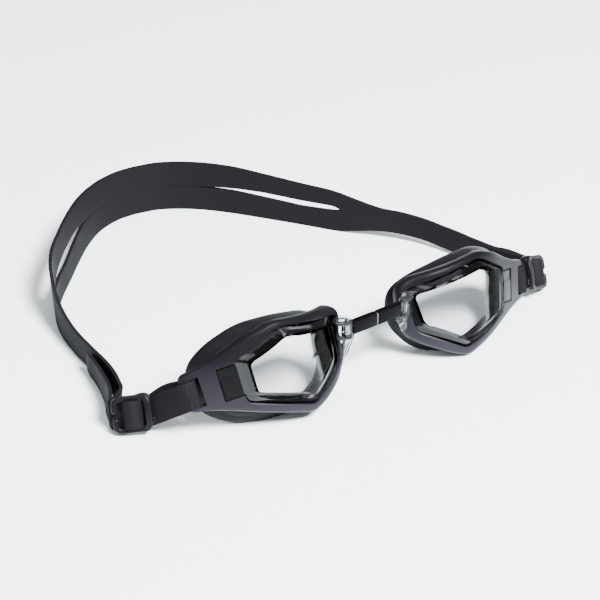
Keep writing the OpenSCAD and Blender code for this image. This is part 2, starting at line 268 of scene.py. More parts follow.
def rings(name, loops, closed_section=True, cap=False, smooth=35, bands=None):
    """A surface through loops of equal length. A closed section joins the last loop to the first.

    Bands gives the number of the finish of each strip between two loops.
    """
    n, m = len(loops), len(loops[0])
    verts = np.vstack(loops)
    faces = []
    for i in range(n if closed_section else n - 1):
        a, b = i * m, ((i + 1) % n) * m
        faces += [(a + j, a + (j + 1) % m, b + (j + 1) % m, b + j) for j in range(m)]
    if cap:
        faces += [tuple(range(m)), tuple(range((n - 1) * m, n * m))]
    marks = None if bands is None else [k for k in bands for _ in range(m)] + [0] * (2 if cap else 0)
    return finish_mesh(name, verts, faces, smooth, marks)


def baked(obj):
    """The object's mesh with its modifiers applied."""
    bpy.context.view_layer.update()
    graph = bpy.context.evaluated_depsgraph_get()
    mesh = bpy.data.meshes.new_from_object(obj.evaluated_get(graph))
    obj.modifiers.clear()
    obj.data = mesh
    return obj


def rounded_box(name, low, high, bevel, place, segments=3):
    """A box with rounded edges, drawn in millimetres and put in place by a function."""
    low, high = np.array(low, float), np.array(high, float)
    obj = placed(name, bpy.data.meshes.new(name))
    bm = bmesh.new()
    bmesh.ops.create_cube(bm, size=1)
    for v in bm.verts:
        v.co = Vector((low + high) / 2 + np.array(v.co) * (high - low))
    bmesh.ops.bevel(bm, geom=list(bm.edges), offset=bevel, segments=segments, profile=0.6, affect="EDGES")
    co = place([v.co for v in bm.verts])
    for v, c in zip(bm.verts, co):
        v.co = Vector(c)
    bm.to_mesh(obj.data)
    bm.free()
    tidy_mesh(obj, 40)
    return obj


CORNER_STEPS = 5


def swept(name, path, ups, half_w, half_t, place, corner=0.45, round_ends=False):
    """A bar of rounded rectangular section swept along a path: half_w along ups, half_t across them."""
    path, ups = np.array(path, float), np.array(ups, float)
    n = len(path)
    half_w, half_t = np.broadcast_to(half_w, n).astype(float), np.broadcast_to(half_t, n).astype(float)
    tangent = np.gradient(path, axis=0)
    tangent /= np.linalg.norm(tangent, axis=1)[:, None]
    ups = ups - (ups * tangent).sum(1)[:, None] * tangent
    ups /= np.linalg.norm(ups, axis=1)[:, None]
    across = np.cross(tangent, ups)
    loops = []
    for i in range(n):
        w, t = half_w[i], half_t[i]
        r = min(corner, w * 0.98, t * 0.98)
        ring = []
        for k, (sx, sy) in enumerate(((1, 1), (-1, 1), (-1, -1), (1, -1))):
            for q in range(CORNER_STEPS):
                a = math.pi / 2 * (k + q / (CORNER_STEPS - 1))
                wide, deep = sx * (w - r) + r * math.cos(a), sy * (t - r) + r * math.sin(a)
                ring.append(path[i] + ups[i] * wide + across[i] * deep)
        loops.append(np.array(ring))
    if round_ends:
        ends = []
        for i, sign in ((0, -1), (n - 1, 1)):
            out = tangent[i] * sign * half_t[i]
            ends.append([path[i] + out * math.sin(a) + (loops[i] - path[i]) * (1 - (1 - math.cos(a)) * 0.75)
                         for a in (0.5, 1.0, 1.35)])
        loops = ends[0][::-1] + loops + ends[1]
    return rings(name, [place(loop) for loop in loops], closed_section=False, cap=True)


def catmull(p, steps):
    """A smooth curve through the given points, with a number of steps between each two."""
    p = np.asarray(p, float)
    q = np.vstack([2 * p[0] - p[1], p, 2 * p[-1] - p[-2]])
    out = []
    for i in range(len(p) - 1):
        a, b, c, d = q[i:i + 4]
        for u in np.arange(steps) / steps:
            bend, turn = 2 * a - 5 * b + 4 * c - d, 3 * b - a - 3 * c + d
            out.append(0.5 * (2 * b + (c - a) * u + bend * u * u + turn * u ** 3))
    return np.array(out + [p[-1]])


def joined(name, objs):
    """Several objects as one."""
    verts, faces = [], []
    for o in objs:
        base = len(verts)
        verts += [tuple(v.co) for v in o.data.vertices]
        faces += [tuple(base + i for i in p.vertices) for p in o.data.polygons]
        bpy.data.objects.remove(o)
    return finish_mesh(name, verts, faces)


# ---- Materials ----

# Heights in metres over which a material with painted shade is darkened towards its top, and how far a
# surface has to be turned away, from 0 to 1, for the gloss of a material with slant to grow
PAINTED_SHADE_HEIGHTS = (0.009, 0.033)
SLANT_TURNS = (0.3, 0.6)
GRAIN_DEPTH = 0.0002


def connect(mat, node, inputs):
    """Set inputs of a node: each to a value, or to follow the output of another node."""
    for key, value in inputs.items():
        if isinstance(value, bpy.types.NodeSocket):
            mat.node_tree.links.new(value, node.inputs[key])
        else:
            node.inputs[key].default_value = value


def added(mat, kind, inputs, **attributes):
    """A new node of a material."""
    node = mat.node_tree.nodes.new(kind)
    for key, value in attributes.items():
        setattr(node, key, value)
    connect(mat, node, inputs)
    return node


def place_on_object(mat):
    """Where on the object a point lies, so that its grain moves with it."""
    return added(mat, "ShaderNodeTexCoord", {}).outputs["Object"]


def noise(mat, scale, detail):
    """Noise from 0 to 1 that belongs to the object."""
    values = {"Vector": place_on_object(mat), "Scale": scale, "Detail": detail}
    return added(mat, "ShaderNodeTexNoise", values).outputs["Fac"]


def mapped(mat, source, low, high, start=0, end=1):
    """A value that goes from low to high while the source goes from start to end."""
    values = {"Value": source, "From Min": start, "From Max": end, "To Min": low, "To Max": high}
    return added(mat, "ShaderNodeMapRange", values).outputs["Result"]


def between(mat, factor, a, b):
    """A colour between a and b."""
    values = {"Factor": factor, "A": (*a, 1), "B": (*b, 1)}
    return added(mat, "ShaderNodeMix", values, data_type="RGBA").outputs["Result"]


def material(name, colour, rough, spread=0.12, grain=900.0, bump=0.05, specular=0.5, tint=0.15, painted_top_shade=1.0,
             slant=0.0):
    """A surface with fine grain, uneven gloss and slightly uneven colour.

    With painted shade its colour and gloss darken towards its top, and with slant it is glossier when seen at
    a slant.
    """
    mat = bpy.data.materials.new(name)
    mat.use_nodes = True
    shader = mat.node_tree.nodes["Principled BSDF"]
    fine, broad = noise(mat, grain, 6), noise(mat, 60, 4)
    uneven = between(mat, broad, [c * (1 - tint) for c in colour], [min(c * (1 + tint), 1) for c in colour])
    relief = added(mat, "ShaderNodeBump", {"Height": fine, "Strength": bump, "Distance": GRAIN_DEPTH})
    connect(mat, shader, {
        "Base Color": uneven,
        "Roughness": mapped(mat, broad, max(rough - spread, 0.02), min(rough + spread, 1)),
        "Normal": relief.outputs["Normal"],
        "Specular IOR Level": specular,
    })
    if slant:
        turned_away = added(mat, "ShaderNodeLayerWeight", {"Blend": 0.5}).outputs["Facing"]
        connect(mat, shader, {"Specular IOR Level": mapped(mat, turned_away, specular, slant, *SLANT_TURNS)})
    # Painted shade: colour and gloss fall off with height, so upward-facing parts look as if less light
    # reached them
    if painted_top_shade < 1:
        height = added(mat, "ShaderNodeSeparateXYZ", {"Vector": place_on_object(mat)}).outputs["Z"]
        shade_fall = mapped(mat, height, 1, painted_top_shade, *PAINTED_SHADE_HEIGHTS)
        shaded_colour = added(mat, "ShaderNodeVectorMath", {0: uneven, "Scale": shade_fall}, operation="SCALE")
        connect(mat, shader, {
            "Base Color": shaded_colour.outputs["Vector"],
            "Specular IOR Level": mapped(mat, height, specular, specular * painted_top_shade, *PAINTED_SHADE_HEIGHTS),
        })
    return mat


def clear(name, colour, haze=0.0, gloss=0.03, ior=1.5, shine=1.0):
    """Thin clear plastic: it lets light straight through and mirrors more at a slant."""
    mat = bpy.data.materials.new(name)
    mat.use_nodes = True
    nodes = mat.node_tree.nodes
    nodes.remove(nodes["Principled BSDF"])
    cloud = noise(mat, 120, 5)
    through = added(mat, "ShaderNodeBsdfTransparent", {
        "Color": between(mat, cloud, colour, [c * 0.97 for c in colour]),
    })
    milk = added(mat, "ShaderNodeBsdfDiffuse", {"Color": (0.8, 0.82, 0.85, 1)})
    hazy = added(mat, "ShaderNodeMixShader", {
        "Fac": haze,
        1: through.outputs["BSDF"],
        2: milk.outputs["BSDF"],
    })
    mirror = added(mat, "ShaderNodeBsdfGlossy", {
        "Color": (shine, shine, shine, 1),
        "Roughness": mapped(mat, cloud, gloss, gloss + 0.05),
    })
    whole = added(mat, "ShaderNodeMixShader", {
        "Fac": added(mat, "ShaderNodeFresnel", {"IOR": ior}).outputs["Fac"],
        1: hazy.outputs["Shader"],
        2: mirror.outputs["BSDF"],
    })
    connect(mat, nodes["Material Output"], {"Surface": whole.outputs["Shader"]})
    return mat


STRAP = material("strap silicone", (0.0052, 0.0048, 0.0062), 0.62, grain=1400, bump=0.1, specular=0.035,
                 tint=0.1)
# The frame's grey is painted darker and less glossy towards its top: painted shade on its upward-facing parts
SOFT_GREY = material("frame soft grey", (0.0108, 0.01, 0.0142), 0.38, grain=1200, bump=0.04, specular=0.13,
                     tint=0.1, painted_top_shade=0.3)
SEAL_BLACK = material("seal silicone", (0.0038, 0.0036, 0.0045), 0.4, grain=500, bump=0.01, specular=0.07)
PANEL_DARK = material("arm panel", (0.0022, 0.0023, 0.0026), 0.34, grain=1600, bump=0.1, specular=0.05,
                      slant=0.22)
BUCKLE = material("buckle plastic", (0.0034, 0.0033, 0.0041), 0.34, grain=1100, bump=0.08, specular=0.1)
BRIDGE_BLACK = material("bridge gloss", (0.0012, 0.0012, 0.0015), 0.14, spread=0.06, grain=500, bump=0.02,
                        specular=0.03)
LENS_CLEAR = clear("lens clear", (0.89, 0.888, 0.9), ior=1.3, shine=0.16)
LENS_WALL = clear("lens wall", (0.1, 0.1, 0.11), gloss=0.05, ior=1.56, shine=0.55)
BRIDGE_CLEAR = clear("bridge clear", (0.8, 0.83, 0.86), haze=0.01, gloss=0.02, ior=1.45, shine=0.45)
CORE_CLEAR = clear("bridge core", (0.85, 0.87, 0.9), haze=0.3, gloss=0.02, ior=1.45, shine=0.6)


def dress(obj, mat, second=None):
    """Give an object its material, and the faces marked 1 the second one."""
    if second:
        obj.data.materials[0], obj.data.materials[1] = mat, second
    else:
        obj.data.materials.clear()
        obj.data.materials.append(mat)
    return obj


# ---- Eyecups ----


def in_depth(side, flat, depth):
    """Loop of eyecup points from an outline and a depth at each point."""
    depths = np.broadcast_to(depth, len(flat))
    return world(side, from_cup(side, np.stack([flat[:, 0], depths, flat[:, 1]], 1)))


def inset(outer, inner, d):
    """Points d millimetres in from the outer loop towards the inner one."""
    v = inner - outer
    return outer + v * np.minimum(d / np.maximum(np.linalg.norm(v, axis=1), 1e-6), 1)[:, None]


def lens_loops(side):
    """The lens's front as loops from the middle out, its wall from front to back, and its inner faces."""
    shape = rounded(LENS, 1.7, 8)
    angles = evenly(shape, 0.8)
    edge = reach(shape, angles)
    base = reach(rounded(grown(LENS, SKIRT), 2.4, 8), angles)
    inner = reach(rounded(grown(LENS, -1.3), 2.2, 8), angles)
    centre = np.broadcast_to(CENTRE, edge.shape)
    front, wall, back = [], [], []
    for f in (0.02, 0.15, 0.3, 0.45, 0.6, 0.72, 0.82, 0.9):
        p = CENTRE + (edge - CENTRE) * f
        front.append(in_depth(side, p, lens_front(p[:, 0])))
    for d, drop in ((1.15, 0.0), (0.8, 0.05), (0.35, 0.25), (0.1, 0.5), (0, EDGE)):
        p = inset(edge, centre, d)
        front.append(in_depth(side, p, lens_front(p[:, 0]) + drop))
    start, end = lens_front(edge[:, 0]) + EDGE, frame_front(base[:, 0]) + SEAT
    for f in (0, 0.3, 0.6, 0.85, 1):
        wall.append(in_depth(side, edge + (base - edge) * f, start + (end - start) * f))
    flange = reach(rounded(grown(LENS, SKIRT + 0.7), 2.8, 8), angles)
    wall.append(in_depth(side, flange, frame_front(flange[:, 0]) + SEAT + 0.1))
    wall.append(in_depth(side, flange, frame_front(flange[:, 0]) + FLANGE))
    foot = frame_front(inner[:, 0]) + FLANGE
    wall.append(in_depth(side, inner, foot))
    ledge = lens_front(inner[:, 0]) + LEDGE
    for f in (0.7, 0.35, 0):
        wall.append(in_depth(side, inner, (1 - f) * ledge + f * foot))
    for d, drop in ((0, LEDGE), (0.3, 1.6), (0.9, WINDOW)):
        p = inset(inner, centre, d)
        back.append(in_depth(side, p, lens_front(p[:, 0]) + drop))
    for f in (0.8, 0.6, 0.4, 0.2, 0.02):
        p = CENTRE + (inner - CENTRE) * f
        back.append(in_depth(side, p, lens_front(p[:, 0]) + WINDOW))
    return front, wall, back


def build_lens(side):
    """One closed shell: window, then wall and flange in a darker finish, then the window's back."""
    front, wall, back = lens_loops(side)
    bands = [0] * (len(front) - 1) + [1] * (len(wall) - 1) + [0] * (len(back) - 1)
    return rings(side + "_lens_shell", front + wall[1:] + back[1:], closed_section=False, cap=True, smooth=28,
                 bands=bands)


def build_frame(side):
    """Soft frame round the lens, cut for the strap's slot, the inset and the hinge.

    Its section is drawn from the inner edge at the back, over the front, to the outer edge at the back.
    """
    shape = rounded(FRAME, 3.2, 6)
    angles = evenly(shape, 0.7)
    outer = reach(shape, angles)
    inner = reach(rounded(grown(LENS, SKIRT + 0.1), 2.6, 8), angles)
    centre = np.broadcast_to(CENTRE, outer.shape)
    loops = []

    def at(p, drop):
        loops.append(in_depth(side, p, frame_front(p[:, 0]) + drop))

    depth = np.interp(outer[:, 0], [42, 52], [5.0, 3.9])
    at(inner, np.interp(inner[:, 0], [40, 47], [4.9, 4.4]))
    at(inner, 2.4)
    at(inner, 0.6)
    at(inset(inner, centre, -0.18), 0.2)
    lip, step_in = 0.55, 2.2
    at(inset(inner, centre, -lip), 0.02)
    width = np.linalg.norm(outer - inner, axis=1)
    for f in (0.12, 0.3, 0.5, 0.7, 0.88):
        at(inset(inner, outer, lip + (width - step_in - lip) * f), 0.0)
    # A fine step runs all round, a little in from the edge
    for d, drop in ((1.95, 0.0), (1.85, 0.05), (1.75, 0.26), (1.6, 0.3), (1.2, 0.36), (0.9, 0.5), (0.5, 0.85),
                    (0.18, 1.3), (0.04, 1.8), (0, 2.4)):
        at(inset(outer, inner, d), drop)
    at(outer, depth - 0.6)
    at(inset(outer, inner, 0.25), depth - 0.15)
    at(inset(outer, inner, 0.8), depth)
    at(inset(outer, inner, np.minimum(width * 0.5, 3)), depth)
    obj = rings(side + "_frame_soft", loops, closed_section=True, smooth=38)
    cutters = [
        rounded_box("cut_slot", (17.7, -6, -6.3), (21.2, 10, 6.3), 0.5, lambda p: on_arm(side, p)),
        rounded_box("cut_panel", (0, -4, -7.6), (10.6, 1.1, 6.7), 0.35, lambda p: on_arm(side, p)),
        rounded_box("cut_lug", (9, 10.6, 19.4), (17.6, 19.4, 35), 0.8, lambda p: world(side, p)),
    ]
    for c in cutters:
        m = obj.modifiers.new("cut", "BOOLEAN")
        m.operation = "DIFFERENCE"
        m.solver = "EXACT"
        m.object = c
    baked(obj)
    for c in cutters:
        bpy.data.objects.remove(c)
    tidy_mesh(obj, 38, outward=False)
    return obj


def build_panel(side):
    """Dark inset of the arm: a plate with a low step on it."""
    plate = rounded_box(side + "_panel", (2.6, 0.45, -7.3), (10.3, 1.08, 6.0), 0.2, lambda p: on_arm(side, p))
    step = rounded_box(side + "_panel_step", (3, 0.15, -6.9), (9.9, 0.8, 1.8), 0.16,
                       lambda p: on_arm(side, p))
    return joined(side + "_arm_inset", [plate, step])


def build_seal(side):
    """Face seal: a flange behind the frame, a ridge, a flaring skirt and a rolled back edge."""
    shape = rounded(SEAL, 6, 8)
    angles = evenly(shape, 0.9)
    rim = reach(shape, angles)
    lens_edge = reach(rounded(grown(LENS, 1.1), 3, 8), angles)
    hem = reach(rounded(grown(FRAME, -1.2), 3.2, 6), angles)
    centre = np.broadcast_to(CENTRE, rim.shape)
    # The flange behind the frame ends just inside the frame's edge, or at the seal's own edge by the arm
    short = np.minimum(np.linalg.norm(hem - centre, axis=1), np.linalg.norm(rim - centre, axis=1) - 1.6)
    hem = centre + (hem - centre) * (short / np.linalg.norm(hem - centre, axis=1))[:, None]
    back = seal_back(rim[:, 0])
    loops = []

    def at(p, depth):
        loops.append(in_depth(side, p, depth))

    front = frame_front(hem[:, 0]) + SEAL_SEAT
    at(lens_edge, frame_front(lens_edge[:, 0]) + SEAL_SEAT)
    at(inset(hem, centre, 0.8), front)
    at(hem, front + 0.3)
    base = front + 0.9
    for f, swell in ((0.03, 0.1), (0.06, 0.2), (0.1, 0.21), (0.12, 0.13), (0.16, 0.15), (0.35, 0.42),
                     (0.55, 0.74), (0.75, 0.95), (0.88, 1.0), (0.96, 0.97)):
        p = hem + (rim - hem) * swell
        at(p, base + (back - base) * f)
    roll_depth = 1.5
    for d, drop in ((0.35, 0.15), (0.9, 0), (1.7, 0.05), (2.3, 0.5), (2.6, roll_depth)):
        at(inset(rim, centre, d), back - drop)
    neck = reach(rounded(grown(LENS, 0.2), 3, 8), angles)
    mid = inset(rim, centre, 2.7)
    inner_front = frame_front(neck[:, 0]) + 7.2
    for f, pull in ((0.6, 0.05), (0.35, 0.25), (0.15, 0.6)):
        p = mid + (neck - mid) * pull
        at(p, inner_front + (back - roll_depth - inner_front) * f)
    at(neck, inner_front)
    at(neck, frame_front(neck[:, 0]) + 5.6)
    # The seal rests on the floor and is pressed flat there
    for loop in loops:
        loop[:, 2] = np.maximum(loop[:, 2], 0.0)
    return rings(side + "_face_seal", loops, closed_section=True, smooth=40)


# Half height of the bridge's barrel, the gap above and below it, and the thickness of an ear
BARREL_H, EAR_GAP, EAR_T = 2.5, 0.15, 1.3


def build_lug(side):
    """Clear ears, pin, gusset and hump on the nose side of the lens."""
    parts = []
    low, high = PIN[2] - BARREL_H - EAR_GAP - EAR_T, PIN[2] + BARREL_H + EAR_GAP
    outline = [(PIN[0] + 2.3 * math.cos(a), PIN[1] + 2.3 * math.sin(a))
               for a in np.linspace(math.pi * 0.5, math.pi * 1.5, 17)]
    outline = np.array(outline + [(17.4, 12.4), (19.6, 13.8), (20, 17), (18.8, 18.2), (17, 17.2)])
    mid = outline.mean(0)
    for z in (low, high):
        loops = []
        for f, h in ((0.9, 0), (0.97, 0.05), (1, 0.25), (1, EAR_T - 0.25), (0.97, EAR_T - 0.05),
                     (0.9, EAR_T)):
            p = mid + (outline - mid) * f
            loops.append(world(side, np.stack([p[:, 0], p[:, 1], np.full(len(p), z + h)], 1)))
        parts.append(rings("ear", loops, closed_section=False, cap=True))
    pin = [(PIN[0], PIN[1], z) for z in np.linspace(low - 0.2, PIN[2] + 4.1, 6)]
    parts.append(swept("pin", pin, [(1, 0, 0)] * 6, 1.2, 1.2, lambda p: world(side, p), corner=1.2))
    # A thin gusset tapers down from the lower ear along the frame's nose side
    gusset = [(16.8, low - 5), (15.9, low - 8.8), (14.9, low - 8.8), (13, low - 4.6), (11.3, low - 1.6),
              (10.9, low + 0.3), (16.8, low + 0.3)]
    gusset = rounded(gusset, 0.7, 4)
    mid = gusset.mean(0)
    layers = []
    for f, y in ((0.93, -0.6), (1, -0.4), (1, 0.4), (0.93, 0.6)):
        p = mid + (gusset - mid) * f
        layers.append(world(side, np.stack([p[:, 0], np.full(len(p), PIN[1] + 0.6 + y), p[:, 1]], 1)))
    parts.append(rings("gusset", layers, closed_section=False, cap=True))
    hump = catmull([(14.6, 14.4, PIN[2] + 4.2), (15.8, 15, PIN[2] + 5.1), (17.2, 15.8, PIN[2] + 5.2),
                    (18.6, 16.6, PIN[2] + 4.4)], 4)
    parts.append(swept("hump", hump, [(0, 0, 1)] * len(hump), 0.5, 1.1, lambda p: world(side, p), corner=0.7))
    return joined(side + "_hinge_ears", parts)


for side in SIDES:
    cup = side + "_cup"
    lens = dress(build_lens(side), LENS_CLEAR, second=LENS_WALL)
    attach(lens, cup)
    ears = dress(build_lug(side), BRIDGE_CLEAR)
    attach(ears, cup)
    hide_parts(side + "_lens")
    soft = dress(build_frame(side), SOFT_GREY)
    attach(soft, cup)
    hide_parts(side + "_frame")
    inset_panel = dress(build_panel(side), PANEL_DARK)
    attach(inset_panel, cup)
    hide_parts(side + "_arm_panel")
    seal = dress(build_seal(side), SEAL_BLACK)
    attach(seal, cup)
    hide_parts(side + "_gasket")

# ---- Nose bridge ----

# Half depth and half height of the sleeves and of the core in them, and how far out they reach
SLEEVE_Y, SLEEVE_Z, SLEEVE_TO = 1.5, 2.9, 12.6
CORE_Y, CORE_Z, CORE_TO = 1.1, 2.4, 12.2
SEAM = 0.15

for side in SIDES:
    sleeve = rounded_box(side + "_sleeve", (SEAM, PIN[1] - SLEEVE_Y, PIN[2] - SLEEVE_Z),
                         (SLEEVE_TO, PIN[1] + SLEEVE_Y, PIN[2] + SLEEVE_Z), 0.55, lambda p: world(side, p),
                         segments=2)
    dress(sleeve, BRIDGE_BLACK)
    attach(sleeve, "bridge")
    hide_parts(side + "_bridge_sleeve")
core = rounded_box("bridge_core", (-CORE_TO, PIN[1] - CORE_Y, PIN[2] - CORE_Z),
                   (CORE_TO, PIN[1] + CORE_Y, PIN[2] + CORE_Z), 0.3, lambda p: world("right", p))
dress(core, CORE_CLEAR)
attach(core, "bridge")
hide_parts("nose_bridge")
for side in SIDES:
    tube = []
    for r, h in ((1.25, -BARREL_H), (2.15, -BARREL_H), (2.4, 0.25 - BARREL_H), (2.4, BARREL_H - 0.25),
                 (2.15, BARREL_H), (1.25, BARREL_H)):
        tube.append(world(side, [(PIN[0] + r * math.cos(a), PIN[1] + r * math.sin(a), PIN[2] + h)
                                 for a in np.linspace(0, 2 * math.pi, 40, endpoint=False)]))
    barrel = dress(rings(side + "_hinge_barrel", tube, closed_section=True), BRIDGE_CLEAR)
    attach(barrel, "bridge")

# ---- Buckles ----

# Length and height of a buckle
BUCKLE_L, BUCKLE_H = 15.5, 15.0
BUCKLE_MID = BUCKLE_H / 2
# Half thickness of the strap, and half its width at the buckles
HALF_T, HALF_W = 0.74, 5.75


def build_buckle(side):
    """Open ring with a middle bar, a tab on its top and a nub at the bottom."""
    def place(p):
        return world(side, from_buckle(side, p))

    parts = []
    top, low, near, far = BUCKLE_H - 1.1, 1.1, 1.2, BUCKLE_L - 1.0
    # Open ring: up the outer bar's stub, round by the bottom, the inner bar and the top, and down again
    path = [(far, -0.2, BUCKLE_MID - 2), (far, -0.2, low + 2.6), (far - 0.6, -0.1, low + 0.7),
            (far - 2.4, 0, low), (8, 0, low), (3.6, 0, low), (near + 0.9, -0.4, low + 0.5),
            (near, -0.9, low + 2.4), (near - 0.1, -1.2, BUCKLE_MID), (near, -0.9, top - 2.4),
            (near + 0.9, -0.4, top - 0.5), (3.6, 0, top), (8, 0, top), (far - 2.4, 0, top),
            (far - 0.6, -0.1, top - 0.7), (far, -0.2, top - 2.6), (far, -0.2, BUCKLE_MID + 1.6)]
    path = catmull(path, 5)
    inner_bar = np.exp(-((path[:, 0] - near) / 2.2) ** 2)
    ups = np.broadcast_to((0, 1, 0), path.shape)
    parts.append(swept("ring", path, ups, 1.55 - 0.2 * inner_bar, 1.05 + 0.35 * inner_bar, place, corner=0.6,
                       round_ends=True))
    bar = [(BUCKLE_L / 2, 0.2, z) for z in np.linspace(0.8, BUCKLE_H - 0.8, 8)]
    parts.append(swept("middle", bar, [(1, 0, 0)] * 8, 1.1, 1.1, place, corner=1.0))
    tab = [(0.2, 0.3, top - 0.4), (1.6, 0.4, top + 0.5), (3.4, 0.4, top + 0.7), (5, 0.3, top + 0.4)]
    tab = catmull(tab, 4)
    parts.append(swept("tab", tab, [(0, 1, 0)] * len(tab), 1.5, 0.8, place, corner=0.5, round_ends=True))
    nub = catmull([(-0.2, -0.3, low + 2.2), (-0.9, -0.2, low + 2.8), (-0.6, -0.2, low + 3.8)], 3)
    parts.append(swept("nub", nub, [(0, 1, 0)] * len(nub), 0.9, 0.55, place, corner=0.4, round_ends=True))
    return joined(side + "_buckle_body", parts)


def build_turn(side):
    """Two layers of strap over the buckle's middle bar."""
    def place(p):
        return world(side, from_buckle(side, p))

    parts = []
    for offset in (0.0, 1.56):
        flat = [(0.9, 1.0 + offset), (2.4, 0.9 + offset), (3.8, 0.2 + offset * 0.7), (5.6, -2.4 + offset),
                (7.75, -3.3 + offset), (9.9, -2.4 + offset), (11.6, 0.2 + offset * 0.7), (13.2, 1.0 + offset),
                (BUCKLE_L + 0.2, 1.3 + offset)]
        line = catmull([(x, y, BUCKLE_MID) for x, y in flat], 5)
        line[:, 1] -= 0.1
        parts.append(swept("layer", line, [(0, 0, 1)] * len(line), 5.7, HALF_T, place, corner=0.35))
    return joined(side + "_strap_weave", parts)


for side in SIDES:
    buckle = dress(build_buckle(side), BUCKLE)
    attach(buckle, side + "_buckle")
    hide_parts(side + "_buckle")
    weave = dress(build_turn(side), STRAP)
    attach(weave, side + "_buckle")
    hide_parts(side + "_strap_turn")

# ---- Strap loops round the slot bars ----

# How far along the arm the slot's bar lies
BAR = 22.5


def build_loop(side):
    """Front layer from the buckle round the slot bar, and the return layer behind it."""
    def bar_frame(p):
        return from_cup(side, from_arm(np.asarray(p, float) + (BAR, 1.7, 0)))

    up_bar = (from_cup(side, from_arm([(0, 0, 1)])) - from_cup(side, from_arm([(0, 0, 0)])))[0]
    up_buckle = BUCKLE_TURN[side][:, 2]
    near = from_buckle(side, [(1.6, 2.55, BUCKLE_MID), (0.2, 2.5, BUCKLE_MID)])
    near2 = from_buckle(side, [(1.6, 1.0, BUCKLE_MID), (0.2, 0.95, BUCKLE_MID)])
    turns = np.radians([-80, -110, -140, -170, 160, 130, 100, 80])
    ring = [bar_frame([(2.35 * math.cos(a), 2.35 * math.sin(a), 0)])[0] for a in turns]
    out_dir = bar_frame([(1, 0, 0)])[0] - bar_frame([(0, 0, 0)])[0]
    start = ring[-1]
    back = [start + out_dir * 2.2, (start + near[1]) / 2 + np.array([0.2, 0.8, 0.9])]
    front = [(ring[0] + near2[1]) / 2 + np.array([0.2, -0.2, 0.2]), ring[0] + out_dir * 2.0]
    untwist = [0.9, 0.5]
    if side == "right":
        back, front, untwist = [(start + near[1]) / 2], [(ring[0] + near2[1]) / 2], [0.5]
    path = [near2[0], near2[1]] + front + ring + back + [near[1], near[0]]
    turn_from = [0, 0] + untwist[::-1] + [1] * len(ring) + untwist + [0, 0]
    ups = np.array([(1 - w) * up_buckle + w * up_bar for w in turn_from])
    both = catmull(np.hstack([np.array(path), ups]), 6)
    return swept(side + "_strap_front_loop", both[:, :3], both[:, 3:], HALF_W, HALF_T,
                 lambda p: world(side, p), corner=0.35)


for side in SIDES:
    loop = dress(build_loop(side), STRAP)
    past_bar = (BAR + (5 if side == "left" else 2.4), 1.7, 0)
    ends = world(side, [from_buckle(side, [(1.6, 2, BUCKLE_MID)])[0],
                        from_cup(side, from_arm([past_bar]))[0]])
    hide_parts(side + "_strap_loop")
    tuple(ends[1])
    tuple(ends[0])
    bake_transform(loop)

# ---- The strap behind the buckles ----
# Stations: x, y, lower edge, width, lean, then the split's lower edge and height

ROUTE = {
    "left": [(102, 50.5, 2.4, 11, 8, 0, 0), (97.8, 58, 2.2, 10.8, 5, 0, 0), (94.6, 66.5, 2, 10.6, 2, 0, 0),
             (92.4, 75.5, 1.6, 10.4, 0, 0, 0), (91, 88, 1, 10.6, 0, 0, 0), (88.8, 104.5, 0.4, 11.4, 0, 0, 0),
             (85.2, 120, 0, 15.2, -2, 0, 0), (79, 134, 0, 21.5, -4, 10.2, 0.6),
             (70, 145.5, 0, 24, -7, 9.4, 3.8), (58, 157.5, 0, 24.2, -9, 9.0, 5.4),
             (46, 169.5, 0, 24.2, -9, 10, 4), (34, 180.5, 0, 24.2, -7, 11.6, 0.6),
             (22, 188.8, 0, 24.2, -3, 11.8, 0.06),
             (10, 192.8, 0, 24.2, -1, 11.8, 0.06), (0, 193, 0, 24.2, 0, 11.8, 0.06)],
    "right": [(99, 43.5, 2.2, 10.6, 6, 0, 0), (96.4, 51, 2, 10.6, 4, 0, 0), (95, 60, 2, 10.4, 2, 0, 0),
              (93.2, 70, 2, 10.4, 0, 0, 0), (91, 79, 2.2, 10.4, 0, 0, 0), (88, 87.5, 2.8, 10.6, 0, 0, 0),
              (83, 97, 3.4, 10.8, 0, 0, 0), (76.5, 106, 3.4, 11.6, 0, 0, 0), (69.5, 116, 1.4, 16.4, 0, 0, 0),
              (64, 124.6, 0, 20, 0, 10.2, 2.4), (56, 137.6, 0, 21, 0, 9.6, 3.0),
              (46, 153, 0, 22.6, 0, 10.8, 2.6), (36.5, 167, 0, 24, 0, 11.8, 1.2),
              (25.5, 180, 0, 24.2, 0, 11.8, 0.2),
              (12.5, 189.5, 0, 24.2, 0, 11.8, 0.06), (0, 193, 0, 24.2, 0, 11.8, 0.06)],
}
# The free ends: x, y, lower edge, width, lean
TAIL = {
    "left": [(105, 53.6, 1.4, 10.8, 8), (101.2, 60.4, 1.2, 10.6, 5), (98.2, 68, 1, 10.4, 2),
             (95.6, 76, 0.8, 10.2, 0), (93.4, 86, 0.6, 10, 0)],
    "right": [(102.4, 44.8, 1.2, 10.6, 6), (99.4, 52, 0.8, 10.4, 4), (97.4, 61, 0.6, 10.4, 2),
              (95.4, 71, 0.4, 10.2, 0), (93.4, 79.4, 0.2, 10, 0)],
}
# Points between two stations
STEPS = 6


def edges_of(route, starts):
    """Lower and upper edge points of a flat strap: first the stations at the buckle, then its route."""
    low, high = [list(s[0]) for s in starts], [list(s[1]) for s in starts]
    for i, s in enumerate(route):
        a, b = route[max(i - 1, 0)], route[min(i + 1, len(route) - 1)]
        along = np.array([b[0] - a[0], b[1] - a[1]])
        along = np.array([-1.0, 0]) if s[0] == 0 else along / np.linalg.norm(along)
        across = np.array([along[1], -along[0]])
        lean = math.radians(s[4])
        low.append([s[0], s[1], s[2]])
        high.append([s[0] - across[0] * math.sin(lean) * s[3], s[1] - across[1] * math.sin(lean) * s[3],
                     s[2] + math.cos(lean) * s[3]])
    return catmull(low, STEPS), catmull(high, STEPS)


